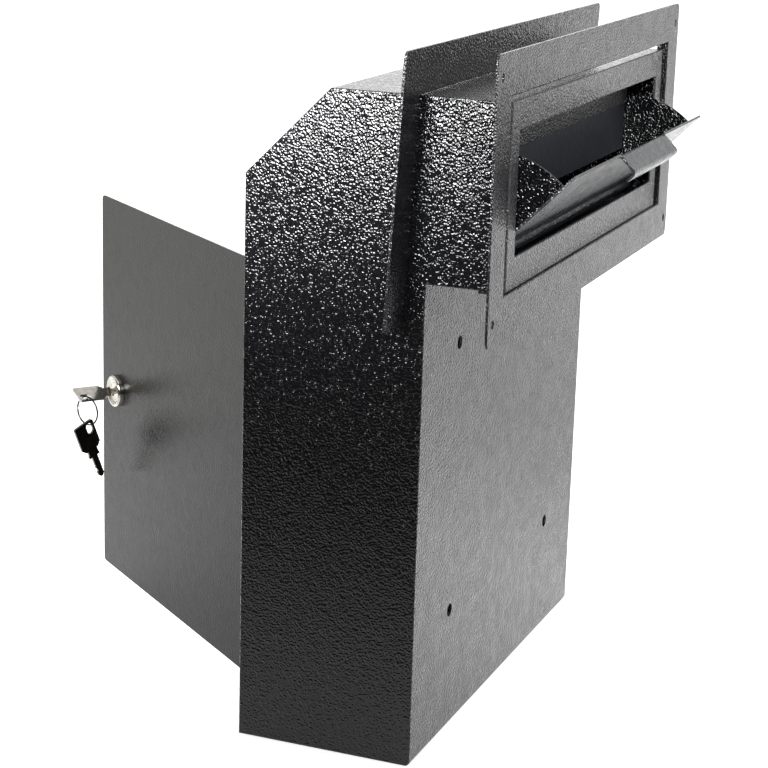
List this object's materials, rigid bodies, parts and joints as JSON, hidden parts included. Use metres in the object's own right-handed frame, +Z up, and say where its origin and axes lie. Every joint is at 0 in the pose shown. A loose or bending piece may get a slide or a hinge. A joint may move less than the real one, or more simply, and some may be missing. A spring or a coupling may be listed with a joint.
{
  "type": "through-the-wall key drop box",
  "caption": "Steel key drop box for a wall: a cabinet with a sloped top, a neck with a tip-out hopper, flanges on both sides of the wall, and a rear access door with a cam lock and keys.",
  "frame": {"origin": "middle of the cabinet's underside", "axes": "+X across the box, -Y towards the hopper and the street side of the wall, +Y towards the access door, +Z up"},
  "size_m": [0.383, 0.4078, 0.4349],
  "materials": {
    "paint_light": "fine hammered grey powder coat",
    "paint_dark": "dark hammered powder coat",
    "paint_door": "satin grey powder coat, fine texture",
    "zinc": "zinc-plated steel",
    "nickel": "satin nickel plate",
    "key_dark": "nickel plate in shade"
  },
  "bodies": {
    "cabinet": {"side_left": "paint_dark", "side_right": "paint_dark", "top_back_sheet": "paint_light", "front_sheet": "paint_light", "neck_face": "paint_light", "inner_flange": "paint_dark", "outer_flange": "paint_light", "trim_screws": "zinc", "chute_ramp": "paint_dark", "stop_angle": "paint_light", "pivot_bracket_left": "paint_dark", "pivot_bracket_right": "paint_dark", "pivot_rod": "zinc", "rod_clips": "zinc", "door_stop": "paint_dark", "hinge_frame_leaf": "zinc", "hinge_pin": "zinc"},
    "hopper": {"hopper_plate": "paint_light", "hopper_cheek_left": "paint_dark", "hopper_cheek_right": "paint_dark", "hopper_baffle": "paint_dark"},
    "door": {"door_panel": "paint_door", "hinge_door_leaf": "zinc", "lock_housing": "nickel", "lock_nut": "nickel"},
    "lock_core": {"lock_plug": "nickel", "lock_cam": "zinc", "cam_screw": "zinc"},
    "lock_key": {"key": "nickel"},
    "ring": {"key_ring": "zinc"},
    "spare": {"spare_key": "key_dark"}
  },
  "joints": [
    {"name": "hopper_tip", "type": "hinge", "parent": "cabinet", "child": "hopper", "pos_m": [0, -0.08865, 0.315], "axis": [1, 0, 0], "range_deg": [-45, 0]},
    {"name": "door_hinge", "type": "hinge", "parent": "cabinet", "child": "door", "pos_m": [-0.1272, 0.0563, 0.1565], "axis": [0, 0, 1], "range_deg": [-51.5, 60]},
    {"name": "lock_turn", "type": "hinge", "parent": "door", "child": "lock_core", "pos_m": [0.01356, 0.23567, 0.1565], "axis": [0.7826, -0.6225, 0], "range_deg": [-17, 73]},
    {"name": "key_pull", "type": "slide", "parent": "lock_core", "child": "lock_key", "axis": [-0.7826, 0.6225, 0], "range_m": [-0.0018, 0.024]},
    {"name": "ring_swing", "type": "hinge", "parent": "lock_key", "child": "ring", "pos_m": [-0.01094, 0.24669, 0.14635], "axis": [0.9537, -0.3007, 0], "range_deg": [-10, 10]},
    {"name": "spare_key_swing", "type": "hinge", "parent": "ring", "child": "spare", "pos_m": [-0.01094, 0.24669, 0.13635], "axis": [0.3007, 0.9537, 0], "range_deg": [-2, 35]}
  ]
}
